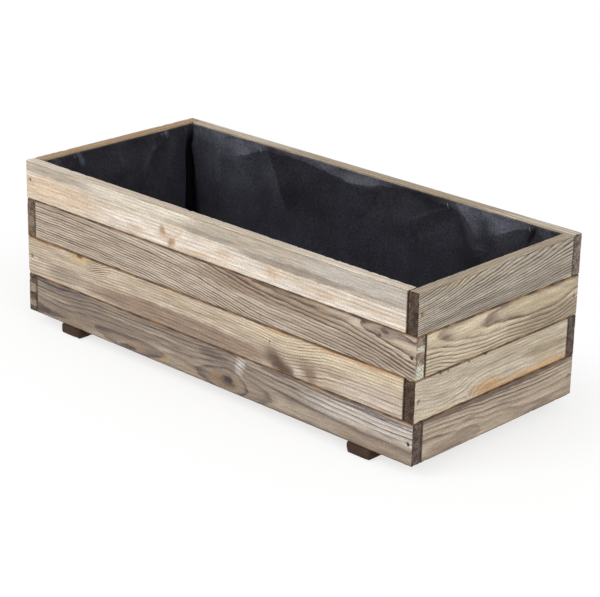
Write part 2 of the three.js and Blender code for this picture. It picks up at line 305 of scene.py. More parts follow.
def weathered_pine(name, side, ends, heights, look):
    """Band-sawn pine, pressure treated and left outside for a summer.

    The late wood of each ring stands out as a brown line, the ground between the lines has
    silvered unevenly, and the fibres are open, so nothing on it shines.
    """
    material, tree = new_material(name)
    at = seen_from_outside(tree, side)
    along, up, out = add(tree, "SeparateXYZ", at).outputs[:3]
    torn = add(tree, "TexNoise", at, 1 / 22.0, 3.0).outputs["Color"]
    torn_at = add(tree, "Shift", at, add(tree, "StretchShift", torn, TORN, [-t / 2 for t in TORN]))

    lines = late_wood(tree, at, look)
    strength = line_strength(tree, at, torn_at, lines, look)
    mottle = add(tree, "Ease", streaks(tree, at, 200.0, 22.0, 3.0), 0.36, 0.64)
    ground = silvered_ground(tree, at, torn_at, mottle, look)
    fibres = streaks(tree, at, 38.0, 2.0, 4.0)
    # A band saw leaves marks 2 mm apart, a little off square to the grain.
    saw_turn = (0.0, 0.0, math.radians(17.0))
    saw_place = add(tree, "Mapping", at, (0.0, 0.0, 0.0), saw_turn, (1 / 2.4, 1 / 30.0, 1 / 30.0))
    saw_marks = add(tree, "TexNoise", saw_place, 1.0, 1.0)
    share = surface_shade(tree, at, fibres, saw_marks)
    coloured = add(tree, "Shade", add(tree, "Blend", strength, ground, look["line"]), share)
    for knot_along, knot_up, size, colour in look.get("knots", ()):
        inside = spot(tree, torn_at, knot_along, knot_up, 1.4 * size, size)
        coloured = add(tree, "Blend", add(tree, "Ease", inside, 0.0, 0.7, 0.0, 0.95), coloured, colour)

    # The arrises on the outside are rounded over and hold the dirt of the seams.
    near_seam = add(tree, "Ease", from_edge(tree, up, *heights), -3.4, -1.0)
    on_arris = add(tree, "Times", near_seam, add(tree, "Ease", out, -5.0, -1.5))
    cloudy = add(tree, "Ease", streaks(tree, at, 45.0, 45.0), 0.42, 0.62)
    dirt = add(tree, "Blend", cloudy, "#5a4131", look.get("arris", "#8f7050"))
    coloured = add(tree, "Blend", add(tree, "Times", on_arris, 0.85), coloured, dirt)
    # Painted shade in part: a band about 4 mm wide at the butting end is darkened, for the dark sides of
    # the joint and the shade in its gap.
    butt = min(ends, key=abs)
    from_butt = add(tree, "Size", add(tree, "Plus", along, -butt))
    coloured = add(tree, "Blend", add(tree, "Ease", from_butt, 4.2, 1.6), coloured, "#4a382b")
    if "rim" in look:
        # The rim is handled and rained on, so its top has a tone of its own.
        top = add(tree, "Blend", mottle, look["rim"], look["rim_line"])
        top = add(tree, "Blend", add(tree, "Times", strength, 0.8), top, look["line"])
        top = add(tree, "Shade", top, share)
        coloured = add(tree, "Blend", add(tree, "Ease", up, RIM - 2.0, RIM - 0.9), coloured, top)
    end = end_grain(tree, at, torn_at, lines, near_seam, out, ends, look)
    past_end = add(tree, "Ease", from_edge(tree, along, *ends), -1.8, -0.6)
    coloured = add(tree, "Blend", past_end, coloured, end)

    relief = 0.0
    for pattern, height in ((lines, 0.5), (fibres, 1.2), (saw_marks, 0.35)):
        relief = add(tree, "TimesPlus", pattern, height, relief)
    bump = add(tree, "Bump", 0.55, 0.5 * MM, named={"Height": relief})
    rough = add(tree, "MapRange", fibres, *NOISE, 0.78, 0.92)
    surface = {"Base Color": coloured, "Roughness": rough, "Normal": bump, **DRY_WOOD}
    add(tree, "OutputMaterial", add(tree, "BsdfPrincipled", named=surface))
    return material


def dipped_pine():
    """Rough sawn battens, brushed dark brown: nearly black, with the saw's fuzz and pale knocks."""
    material, tree = new_material("dipped_pine")
    at = seen_from_outside(tree, "right", 0.0)
    fibres = streaks(tree, at, 30.0, 1.6, 3.0)
    base = add(tree, "Blend", add(tree, "TexNoise", at, 1 / 30.0, 3.0), "#2c2019", "#503a2a")
    colour = add(tree, "Shade", base, add(tree, "MapRange", fibres, *NOISE, 0.7, 1.35))
    bump = add(tree, "Bump", 0.7, 0.6 * MM, named={"Height": fibres})
    rough = add(tree, "MapRange", fibres, *NOISE, 0.75, 0.9)
    surface = {"Base Color": colour, "Roughness": rough, "Normal": bump, **DRY_WOOD}
    add(tree, "OutputMaterial", add(tree, "BsdfPrincipled", named=surface))
    return material


def planed_pine():
    """Planed pine that the felt keeps from the weather: still honey coloured, with clear rings."""
    material, tree = new_material("planed_pine")
    at = seen_from_outside(tree, "front", 0.0)
    lines = late_wood(tree, at, dict(heart=[(-450, 30, 26), (450, 34, 34)], ring=4.0))
    fibres = streaks(tree, at, 40.0, 1.5, 3.0)
    base = add(tree, "Blend", lines, "#d3b98f", "#a9834f")
    colour = add(tree, "Shade", base, add(tree, "MapRange", fibres, *NOISE, 0.9, 1.08))
    bump = add(tree, "Bump", 0.3, 0.2 * MM, named={"Height": fibres})
    rough = add(tree, "MapRange", fibres, *NOISE, 0.55, 0.7)
    surface = {"Base Color": colour, "Roughness": rough, "IOR": 1.5, "Normal": bump}
    add(tree, "OutputMaterial", add(tree, "BsdfPrincipled", named=surface))
    return material


# How each board was cut and has weathered: its colours, the path of the tree's heart (along, height,
# depth), the width of a year's ring, how far the rings shake, and its stains, bends and knots (along,
# height, size, colour). bold is where the rings stand out more, or less below 0: along, height, length
# and height of the stretch, and by how much.
LOOKS = {
    "front_board_1": dict(
        light="#f0e7dc", shade="#dfd0be", wash="#e5d3bf", line="#a8917a", end="#524135", arris="#8d7357",
        rim="#d6cbbb", rim_line="#c4b8a6", contrast=0.55, ring=5.0,
        heart=[(-450, 160, 90), (450, 150, 90)], bold=[(360, 250, 170, 50, 0.8)],
        stains=[
            Stain(120, 318, 3000, 104, "#b7ac9d", 0.85, slant=-1.05, soft=0.16),
            Stain(-160, 294, 340, 40, "#e6dccb", 0.95, soft=0.4),
            Stain(-400, 284, 230, 12, "#aea496", 0.7),
            Stain(10, 276, 180, 14, "#a39b91", 0.7),
            Stain(190, 268, 330, 17, "#958b80", 0.85),
            Stain(340, 268, 230, 14, "#a1978e", 0.5),
            Stain(-380, 256, 300, 62, "#dcc2a3", 0.7),
            Stain(330, 288, 300, 40, "#c6bfb7", 0.8, soft=0.4),
            Stain(-99, 259, 22, 26, "#97704c", 0.9, slant=30, soft=0.9),
            Stain(44, 254, 70, 20, "#d6bc9f", 0.7, soft=0.9),
            Stain(152, 250, 50, 30, "#d2b394", 0.7, soft=0.9),
            Stain(262, 246, 70, 18, "#d3b79a", 0.6, soft=0.9),
            Stain(360, 250, 130, 30, "#dcc9b6", 0.7, soft=0.9),
            Stain(-165, 247, 90, 16, "#d0b089", 0.6, soft=0.9),
            Stain(-10, 240, 120, 16, "#d2b491", 0.6, soft=0.9),
            Stain(-78, 242, 38, 20, "#9c7450", 0.9, slant=38, soft=0.9),
            Stain(-92, 250, 60, 40, "#cdaa87", 0.5, soft=0.9),
            Stain(-60, 262, 60, 12, "#cba684", 0.35, slant=50, soft=0.9),
        ],
    ),
    "front_board_2": dict(
        light="#d3c4b2", shade="#c1b19e", wash="#a99883", line="#64524a", end="#93816f",
        end_patches=[(209, 12, "#d2ceb9"), (172, 34, "#d2cfbb")], contrast=1.4, ring=4.0,
        heart=[
            (-450, 284, 42), (-320, 283, 42), (-240, 280, 42), (-140, 275, 42), (-60, 267, 42),
            (0, 259, 42), (80, 245, 42), (140, 237, 42), (240, 231, 42), (330, 225, 42), (380, 218, 42),
            (450, 208, 38),
        ],
        shake=2.8, bends=[Bend(385, 226, 200, 110, -8)],
        bold=[(400, 178, 240, 60, 0.9), (100, 222, 300, 30, 0.6), (388, 214, 80, 40, 0.8)],
        stains=[
            Stain(150, 214, 420, 46, "#a08c76", 0.8),
            Stain(330, 178, 300, 40, "#a39280", 0.6),
            Stain(416, 206, 80, 13, "#d0bba2", 0.9, soft=0.35),
            Stain(392, 221, 100, 20, "#8b7b70", 0.85),
            Stain(340, 200, 120, 40, "#ab9a86", 0.6),
            Stain(434, 192, 26, 12, "#d3bb9f", 0.8),
        ],
        knots=[(376, 214, 9, "#5d4c40")],
    ),
    "front_board_3": dict(
        light="#d9cab6", shade="#c8b7a1", wash="#b29e88", line="#7d6754", end="#4b3a2f",
        contrast=0.8, ring=4.0,
        heart=[
            (-450, 52, 60), (-200, 60, 60), (0, 58, 60), (130, 50, 60), (190, 48, 60), (270, 64, 60),
            (450, 66, 60),
        ],
        bends=[Bend(-304, 162, 160, 96, 40)],
        bold=[(-264, 146, 64, 44, 2.6), (230, 126, 120, 60, 0.7), (100, 140, 300, 30, 0.4)],
        stains=[
            Stain(280, 158, 560, 62, "#e0cfb4", 0.8, soft=0.35),
            Stain(-60, 106, 560, 44, "#978272", 0.9, soft=0.35),
            Stain(-350, 112, 130, 36, "#a39485", 0.8),
            Stain(-312, 160, 90, 44, "#d9ba8c", 0.85, soft=0.6),
            Stain(-420, 159, 220, 12, "#d2ac80", 0.8),
            Stain(330, 157, 280, 12, "#d9b58a", 0.8),
            Stain(160, 157, 90, 10, "#cda679", 0.7),
            Stain(174, 102, 124, 46, "#57433a", 0.95, slant=-30, soft=0.8),
            Stain(236, 106, 70, 44, "#8a7164", 0.85, slant=-40, soft=0.9),
            Stain(209, 101, 20, 36, "#d8cbbb", 0.8, slant=-35, soft=0.8),
            Stain(380, 108, 230, 50, "#cec0b2", 0.8),
            Stain(285, 120, 60, 9, "#a08a78", 0.6),
            Stain(-414, 124, 13, 9, "#9ea39b", 0.7),
        ],
        knots=[(-308, 158, 13, "#6b5138"), (150, 136, 6, "#4d3f31")],
    ),
    "front_board_4": dict(
        light="#ae9e8d", shade="#918273", wash="#7f7167", line="#4d4345", end="#5f5048",
        contrast=0.95, ring=3.8, phase=0.54, uneven=0.4, bold=[(370, 40, 220, 56, -0.4)],
        heart=[
            (-450, 30, 55), (-370, 30, 57), (-310, 34, 57), (-270, 36, 56), (-190, 33, 54.5),
            (-150, 33, 54.5), (-105, 36, 56), (-60, 38, 57.5), (-12, 38, 56), (40, 39, 52.5),
            (62, 39, 51.9), (82, 38, 53.5), (97, 36, 56), (157, 37, 60), (220, 36, 62), (450, 30, 62),
        ],
        stains=[
            Stain(380, 66, 420, 50, "#d8cdc2", 0.9),
            Stain(250, 38, 240, 40, "#b7a896", 0.8),
            Stain(400, 36, 280, 40, "#a08f7f", 0.9),
            Stain(370, 50, 180, 14, "#a59584", 0.5),
            Stain(-340, 40, 240, 40, "#887969", 0.7),
            Stain(-165, 33, 84, 15, "#a88e70", 0.9),
            Stain(-97, 34, 30, 20, "#b39a79", 0.7),
            Stain(48, 38, 96, 36, "#907962", 0.9),
            Stain(20, 74, 90, 18, "#6d6057", 0.7),
            Stain(115, 38, 130, 40, "#8f7f70", 0.5),
            Stain(84, 75, 26, 56, "#d6cecb", 0.95, slant=-22, soft=0.9),
            Stain(112, 87, 60, 7, "#b9b0aa", 0.7),
            Stain(-370, 84, 200, 8, "#57505a", 0.8),
            Stain(165, 85, 100, 8, "#67616a", 0.7),
            Stain(370, 82, 190, 6, "#615f6c", 0.8),
            Stain(-400, 31, 120, 13, "#5a5153", 0.8),
            Stain(-188, 27, 56, 9, "#4f474c", 0.8),
        ],
        knots=[(57, 41, 17, "#453c42")],
    ),
    "right_board_1": dict(
        light="#cec3b2", shade="#b7ac9d", line="#63574c", end="#4c3d31", arris="#b08c5c",
        rim="#c9bdac", rim_line="#b1a28d", contrast=1.5, ring=3.1, uneven=0.6, shake=2.2,
        bold=[(-110, 268, 240, 90, 0.6), (120, 280, 160, 50, 0.3)],
        heart=[(-200, 320, 26), (-100, 320, 46), (0, 320, 60), (100, 319, 71), (200, 318, 81)],
        stains=[
            Stain(0, 243, 460, 30, "#968d82", 0.6),
            Stain(125, 252, 170, 50, "#a0968a", 0.45),
            Stain(-188, 265, 26, 8, "#ccb08e", 0.8),
            Stain(-90, 293, 150, 12, "#bfa882", 0.5),
        ],
    ),
    "right_board_2": dict(
        light="#ddceb4", shade="#d0bfa3", wash="#bfad92", line="#6f5e55", end="#6d5e52", arris="#b3905f",
        contrast=1.05, ring=3.6, uneven=0.3,
        heart=[
            (-200, 224, 59.2), (-142, 222, 57.1), (-114, 217, 55.9), (-85, 214, 54.9), (-40, 212, 53.5),
            (-17, 213, 52.7), (0, 214, 52.1), (30, 214, 51.5), (83, 212, 50.8), (130, 211, 50.8),
            (165, 214, 51.6), (200, 220, 52.8),
        ],
        bold=[(60, 195, 340, 30, 0.6), (120, 176, 150, 40, 0.5)],
        stains=[
            Stain(130, 176, 260, 60, "#a5957c", 0.75),
            Stain(100, 209, 230, 16, "#c3b296", 0.8),
            Stain(125, 208, 150, 50, "#bcab8e", 0.5),
            Stain(-160, 180, 90, 60, "#d3c3a6", 0.6),
        ],
    ),
    "right_board_3": dict(
        light="#d9ccb7", shade="#c9bba7", wash="#bbac98", line="#8a7a6b", end="#4b392c",
        contrast=0.6, ring=4.2,
        heart=[(-200, 64, 60), (-150, 54, 60), (-115, 54, 60), (-75, 66, 60), (-30, 74, 60), (200, 76, 60)],
        stains=[
            Stain(120, 126, 170, 18, "#a39380", 0.7),
            Stain(120, 142, 150, 8, "#d3c4a5", 0.8),
            Stain(60, 140, 260, 44, "#b8a992", 0.4),
            Stain(135, 112, 120, 40, "#b5a184", 0.4),
            Stain(168, 152, 44, 12, "#dccfb6", 0.7),
            Stain(-150, 97, 120, 16, "#d0c1a3", 0.6),
            Stain(-88, 101, 40, 24, "#dccfb6", 0.8),
            Stain(100, 91, 300, 28, "#d2ac80", 0.95, soft=0.4),
            Stain(-26, 102, 100, 38, "#cca67b", 0.85, soft=0.6),
            Stain(-22, 98, 40, 18, "#bd9668", 0.6, soft=0.8),
        ],
        bends=[Bend(-70, 94, 90, 70, 11)], bold=[(-80, 104, 80, 50, 0.8)],
        knots=[
            (-138, 157, 8, "#6b5340"), (-124, 156, 6, "#6b5340"), (-72, 158, 9, "#604a38"),
            (-38, 158, 8, "#6b5340"),
        ],
    ),
    "right_board_4": dict(
        light="#cab9a5", shade="#b8a794", wash="#a08f7e", line="#6b5c52", end="#6d5e52",
        contrast=0.9, ring=4.0, phase=1.5, uneven=0.5,
        bold=[(20, 76, 420, 50, 1.1), (-70, 34, 280, 44, -0.7)],
        heart=[
            (-200, 40, 47), (-100, 36, 48.2), (-60, 34, 48.8), (-34, 33, 50.8), (0, 33, 51.4),
            (50, 31, 52.5), (110, 30, 53.6), (200, 32, 53.4),
        ],
        stains=[
            Stain(0, 87, 520, 15, "#6d5f54", 0.85, soft=0.4),
            Stain(-104, 34, 170, 26, "#9b8a7c", 0.7),
            Stain(20, 34, 90, 22, "#baa992", 0.6),
        ],
    ),
    "back_board_1": dict(
        light="#c2b298", shade="#ad9d82", line="#6f5f4a", end="#7f7067", rim="#c9bcaa", rim_line="#a89984",
        contrast=0.9, ring=3.6, heart=[(-450, 190, 55), (0, 200, 60), (450, 190, 66)],
        bends=[Bend(120, 262, 150, 80, 10)], knots=[(120, 262, 12, "#5a4636")],
    ),
    "back_board_2": dict(
        light="#c4b4a0", shade="#b2a28f", line="#77665a", end="#6a5a50", contrast=0.8, ring=4.0,
        heart=[(-450, 236, 62), (-200, 232, 56), (0, 230, 50), (200, 224, 55), (450, 220, 60)],
        stains=[Stain(-200, 180, 300, 30, "#a79a8c", 0.7), Stain(260, 208, 260, 26, "#cdb491", 0.6)],
    ),
    "back_board_3": dict(
        light="#a99a89", shade="#998976", line="#5f5147", end="#5d4f47", contrast=1.0, ring=4.4,
        heart=[(-450, 110, 56), (-160, 124, 48), (0, 128, 44), (180, 122, 49), (450, 116, 57)],
        stains=[Stain(260, 140, 200, 26, "#bcab92", 0.6)],
    ),
    "back_board_4": dict(
        light="#b7a692", shade="#a19180", line="#6c5c50", end="#6a5a50", contrast=0.9, ring=3.8,
        heart=[(-450, 6, 60), (0, 14, 60), (450, 10, 60)], bends=[Bend(-230, 58, 190, 90, 12)],
        knots=[(-230, 58, 15, "#4f3f35")],
    ),
    "left_board_1": dict(
        light="#c9b193", shade="#b89f80", line="#7f664b", end="#6a5848", rim="#c0aa94", rim_line="#a88b70",
        contrast=0.9, ring=4.0, heart=[(-200, 205, 50), (0, 200, 54), (200, 204, 58)],
    ),
    "left_board_2": dict(
        light="#bcab98", shade="#a99987", line="#69594d", end="#6d5c4d", contrast=1.0, ring=4.6,
        end_patches=[(190, 26, "#8b7a6a")],
        heart=[(-200, 200, 41), (-60, 197, 46), (60, 195, 52), (200, 190, 60)],
    ),
    "left_board_3": dict(
        light="#c8b9a6", shade="#b7a793", line="#7f6e5e", end="#64544a", contrast=0.7, ring=4.0,
        heart=[(-200, 60, 80), (200, 66, 80)], bends=[Bend(60, 128, 110, 70, 12)],
        knots=[(60, 128, 11, "#6d553f")],
    ),
    "left_board_4": dict(
        light="#a99a8b", shade="#968678", line="#5f5148", end="#5f4e42", contrast=1.0, ring=3.6,
        end_patches=[(66, 22, "#a2917f"), (36, 14, "#9b8a79")],
        heart=[(-200, 112, 60), (0, 106, 66), (200, 104, 70)],
    ),
}


# ---------------------------------------------------------------- meshes of timber

ARRIS = 2.0  # radius of a board's rounded edges
FOOT_ARRIS = 5.5
MESH_STEP = 4.5
FINE = (0.0, 0.4, 1.0, 1.6)  # lines of the mesh within an arris, from the face inwards
HOLE_FLOOR = 3.2  # radius of the flat floor of a nail's recess
HOLE_RIM = 4.2
RECESS = (0.0, 1.3, 2.6, HOLE_FLOOR, 3.5, HOLE_RIM, 6.0)  # lines round a nail, from its middle out
BELOW_HEAD = 0.5  # the floor of the recess lies this far below the top of the nail
TOUCHING = 0.001
HOLLOW = 0.08  # how far the faces sink and swell, over about HOLLOW_SIZE
HOLLOW_SIZE = 38.0
KNOCK = 2.0  # how deep the knocks in an arris are, over about KNOCK_SIZE
KNOCK_SIZE = 11.0
KNOCK_FROM = 0.12  # a noise above this is a knock
FOOT_WEAR = 1.6
FOOT_SEEDS = {"left": 54.0, "right": 55.0}


def mesh_lines(low, high, arris, nails):
    """Where the lines of a board's mesh cross one axis: close in the arrises and round each nail."""
    near_edge = [f * arris / ARRIS for f in FINE]
    count = max(2, round((high - low - 2 * arris) / MESH_STEP) + 1)
    lines = list(np.linspace(low + arris, high - arris, count))
    for nail in nails:
        lines = [line for line in lines if abs(line - nail) > RECESS[-1] + 1.0]
        lines += [nail + sign * offset for offset in RECESS for sign in (-1, 1)]
    lines += [low + offset for offset in near_edge] + [high - offset for offset in near_edge]
    return np.unique(np.round(lines, 4))


def sink_nail(rounded, points, face, axis, side, place):
    """Presses a round recess into a face of a board, round the middle of a nail's head."""
    flat = [k for k in range(3) if k != axis]
    offset = points[:, flat] - np.array(place)[flat]
    square = np.abs(offset).max(axis=1)
    circle = np.maximum(np.linalg.norm(offset, axis=1), 1e-9)
    near = (np.abs(points[:, axis] - face) < TOUCHING) & (square < HOLE_RIM + TOUCHING)
    shrink = np.where(square > 1e-9, square / circle, 1.0)
    rounded[np.ix_(near, flat)] = (np.array(place)[flat] + offset * shrink[:, None])[near]
    hole = np.clip((HOLE_RIM - square) / (HOLE_RIM - HOLE_FLOOR), 0.0, 1.0)
    rounded[near, axis] -= side * ((NAIL_SUNK + BELOW_HEAD) * hole)[near]


def board_mesh(name, low, high, arris, sunk, wear, seed):
    """A timber with rounded, slightly worn arrises and a recess for each nail that shows.

    sunk holds the axis and the side (-1 or 1) of the face that the nails go into, and the middle
    of each head.
    """
    axis, side, places = sunk
    marks = [[] if k == axis else sorted({place[k] for place in places}) for k in range(3)]
    lines = [mesh_lines(low[k], high[k], arris, marks[k]) for k in range(3)]
    size = [len(line) for line in lines]
    index = -np.ones(size, int)
    on_skin = np.zeros(size, bool)
    for k in range(3):
        for end in (0, size[k] - 1):
            on_skin[tuple(end if j == k else slice(None) for j in range(3))] = True
    index[on_skin] = np.arange(on_skin.sum())
    cells = np.argwhere(on_skin)
    points = np.stack([lines[k][cells[:, k]] for k in range(3)], axis=1)

    core = np.clip(points, low + arris, high - arris)
    reach = points - core
    normals = reach / np.linalg.norm(reach, axis=1, keepdims=True)
    rounded = core + normals * arris
    for place in places:
        sink_nail(rounded, points, high[axis] if side > 0 else low[axis], axis, side, place)

    in_arris = (np.abs(reach) > 1e-6).sum(axis=1) > 1
    for i, (point, normal) in enumerate(zip(rounded, normals)):
        away = Vector(point)
        hollow = HOLLOW + HOLLOW * noise.noise(away / HOLLOW_SIZE + Vector((seed, 0.0, 0.0)))
        if in_arris[i]:
            knock = noise.noise(away / KNOCK_SIZE + Vector((0.0, seed, 0.0)))
            hollow += wear * (HOLLOW + max(0.0, knock - KNOCK_FROM) * KNOCK)
        rounded[i] -= normal * hollow

    faces = []
    for k in range(3):
        for end in (0, size[k] - 1):
            grid = index[tuple(end if j == k else slice(None) for j in range(3))]
            quads = np.stack([grid[:-1, :-1], grid[1:, :-1], grid[1:, 1:], grid[:-1, 1:]], axis=-1)
            quads = quads.reshape(-1, 4)
            outward = (end > 0) != (k == 1)
            faces.append(quads if outward else quads[:, ::-1])
    mesh = bpy.data.meshes.new(name)
    mesh.from_pydata((rounded * MM).tolist(), [], np.concatenate(faces).tolist())
    mesh.shade_smooth()
    return mesh


def place_piece(name, mesh, material, stands_for):
    """Puts a mesh in the scene in place of a node of the frame."""
    piece = bpy.data.objects.new(name, mesh)
    bpy.context.scene.collection.objects.link(piece)
    mesh.materials.append(material)
    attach(piece, "root")
    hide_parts(stands_for)
    return piece


def middle_of(node):
    low, high = in_mm(node)
    return (low + high) / 2


def side_ends(side, low, high):
    """Where a board begins and ends along its side, seen from outside."""
    axis = 0 if side in ("front", "back") else 1
    ends = (low[axis], high[axis])
    return ends if side in ("front", "right") else (-ends[1], -ends[0])


# ---------------------------------------------------------------- nails

NAIL_SIDES = 24
NAIL_POINT = 4.0  # length of its point
DUSTY_NAILS = ("corner_nail_right", "corner_nail_front_1", "corner_nail_front_3")


def nail_mesh(name, head, direction, length):
    """A round wire nail: a flat head with a small chamfer, a straight shank and a point."""
    rim = NAIL_HEAD / 2
    shank = 0.5 * rim
    # Radius, and depth below the top of the head.
    profile = [(0.0, 0.05), (0.6 * rim, 0.0), (0.93 * rim, 0.08), (rim, 0.3), (rim, 1.0), (shank, 1.2),
               (shank, length - NAIL_POINT), (0.0, length)]
    turn = Vector(direction).to_track_quat("Z", "Y").to_matrix()
    points = []
    for radius, depth in profile:
        for i in range(NAIL_SIDES):
            angle = 2 * math.pi * i / NAIL_SIDES
            local = Vector((radius * math.cos(angle), radius * math.sin(angle), depth))
            points.append((Vector(head) + turn @ local) * MM)
    faces = []
    for ring in range(len(profile) - 1):
        upper = ring * NAIL_SIDES
        lower = upper + NAIL_SIDES
        for i in range(NAIL_SIDES):
            j = (i + 1) % NAIL_SIDES
            faces.append((upper + i, lower + i, lower + j, upper + j))
    mesh = bpy.data.meshes.new(name)
    mesh.from_pydata(points, [], faces)
    merge_points(mesh)
    mesh.shade_smooth()
    return mesh


def merge_points(mesh):
    """Joins the points that lie in one place, and turns all faces outwards."""
    working = bmesh.new()
    working.from_mesh(mesh)
    bmesh.ops.remove_doubles(working, verts=working.verts, dist=TOUCHING * MM)
    bmesh.ops.recalc_face_normals(working, faces=working.faces)
    working.to_mesh(mesh)
    working.free()


def rusted_steel(name, dark, light):
    """Bright drawn wire nails after a season in treated timber: brown rust, a little metal left.

    Where silvered wood dust has filled the recess, the head is nearly as pale as the board.
    """
    material, tree = new_material(name)
    pits = add(tree, "TexNoise", on_object(tree), 1.2, 4.0)
    rust = add(tree, "ValToRGB", pits, ramp=[(0.35, tone(dark)), (0.62, tone(light))])
    metal = add(tree, "MapRange", pits, 0.35, 0.6, 0.7, 0.1)
    bump = add(tree, "Bump", 0.5, 0.2 * MM, named={"Height": pits})
    surface = {"Base Color": rust, "Metallic": metal, "Roughness": 0.62, "Normal": bump}
    add(tree, "OutputMaterial", add(tree, "BsdfPrincipled", named=surface))
    return material


# ---------------------------------------------------------------- felt

FELT = 1.2  # thickness
INSIDE_X = -LINER_LOW[0]
INSIDE_Y = -LINER_LOW[1]
FELT_TOP = LINER_HIGH[2]
FELT_FLOOR = LINER_LOW[2]
LEAST_OFF = 0.3  # even under a staple the felt keeps this far off its wall
STAND_OFF = 10.0  # how far the slack felt stands off its wall
LOOSE_DROP = 40.0  # depth at which it does so midway between two staples
TIGHT_DROP = 110.0  # and under a staple
LOOSE_SPAN = 150.0  # a longer span between two staples hangs flatter
FOLD_DROP = 8.0  # a fold grows to its height over this depth
SWELL = 1.6  # height of the slow swells in the hanging felt
SWELL_ALONG = 55.0
SWELL_DOWN = 70.0
RIPPLE = 0.8  # height of the ripples, which are RIPPLES times as close as the swells
RIPPLES = 2.7
RIPPLE_DROP = 6.0  # depth at which they reach that height
RUFFLE = 1.2  # how far the slack top edge waves, on a scale of RUFFLE_ALONG, down to RUFFLE_DROP
RUFFLE_ALONG = 16.0
RUFFLE_DROP = 14.0
LEAST_TUCK = 4.0  # width of a corner's tuck at the top edge
TUCK = 28.0  # its full width on one wall, and the depth in which it gains about two thirds of that
SHORT_TUCK_DROP = 32.0
LONG_TUCK = 36.0  # and on the other wall, where it widens steadily
LONG_TUCK_DROP = 165.0
TUCK_OPENS = 30.0  # depth over which the tuck opens
TUCK_OFF = 0.5  # how far off the wall the felt lies in the bottom of a tuck
UNDERCUT = 7.0  # how far that runs on behind the next wall's felt, where this has room for it
UNDERCUT_ROOM = 8.0
HEEL = 14.0  # radius of the bend from a wall to the floor
HEEL_STEPS = 5
FINE_DOWN_TO = 42.0  # the mesh has a ring each RING_STEP down to here, and LOWER_RINGS from there on
RING_STEP = 3.0
LOWER_RINGS = 34
FLOOR_RINGS = (0.06, 0.14, 0.26, 0.4, 0.55, 0.7, 0.85)  # shares of the way from the heel inwards
FLOOR_SWELL = 0.5  # how far the felt on the floor rises and sinks, over about FLOOR_SWELL_SIZE
FLOOR_SWELL_SIZE = 60.0
SPINE = 0.8 * INSIDE_X  # the floor's rings close in on a line, and this is half its length
UPRIGHT_HALF = UPRIGHT_HIGH[0]
UPRIGHT_OUT = INSIDE_Y - UPRIGHT_LOW[1]
UPRIGHT_TOP = UPRIGHT_HIGH[2]
UPRIGHT_GAP = 0.6
UPRIGHT_SLOPE = 22.0  # the felt comes back to its wall over this width beside an upright
LONG_STAPLES = (0.075, 0.272, 0.779, 0.97)  # shares of the wall's length
SHORT_STAPLES = (0.05, 0.22, 0.8, 0.95)
LONG_STEPS = 150  # steps of the mesh along a long wall
SHORT_STEPS = 62

# Folds in the felt, seen from inside the box: place along the wall from its first end and depth
# below the top edge, for both ends of the crest, how far its slopes reach on the side of the first
# end and on the other, and its height.
FOLDS = {
    "back": [
        (669.0, 6.0, 590.0, 130.0, 90.0, 60.0, 7.0),
        (782.0, 12.0, 780.0, 90.0, 18.0, 26.0, 5.0),
        (728.0, 8.0, 716.0, 30.0, 14.0, 20.0, 5.0),
        (236.0, 5.0, 330.0, 66.0, 26.0, 34.0, 6.0),
        (206.0, 16.0, 166.0, 76.0, 20.0, 22.0, 6.5),
        (150.0, 10.0, 120.0, 60.0, 16.0, 24.0, 5.0),
        (66.0, 4.0, 78.0, 40.0, 10.0, 16.0, 5.0),
        (520.0, 12.0, 400.0, 34.0, 30.0, 22.0, 3.0),
    ],
    "left": [
        (280.0, 3.0, 290.0, 30.0, 9.0, 14.0, 5.0),
        (70.0, 3.0, 78.0, 26.0, 9.0, 14.0, 5.0),
        (313.0, 3.0, 317.0, 18.0, 8.0, 10.0, 3.5),
        (182.0, 8.0, 190.0, 60.0, 16.0, 22.0, 3.0),
        (100.0, 22.0, 130.0, 74.0, 16.0, 26.0, 3.5),
    ],
    "front": [
        (190.0, 6.0, 260.0, 84.0, 40.0, 30.0, 6.0),
        (672.0, 6.0, 640.0, 64.0, 26.0, 30.0, 5.0),
        (350.0, 8.0, 300.0, 60.0, 30.0, 24.0, 4.0),
        (560.0, 16.0, 590.0, 120.0, 40.0, 30.0, 5.0),
        (760.0, 20.0, 768.0, 90.0, 26.0, 20.0, 5.0),
    ],
    "right": [
        (82.0, 4.0, 100.0, 60.0, 20.0, 26.0, 5.0),
        (290.0, 4.0, 262.0, 70.0, 22.0, 26.0, 5.0),
        (186.0, 14.0, 190.0, 90.0, 30.0, 24.0, 4.0),
    ],
}


def smooth(t):
    t = min(max(t, 0.0), 1.0)
    return t * t * (3 - 2 * t)


def mix(a, b, t):
    return a + (b - a) * t


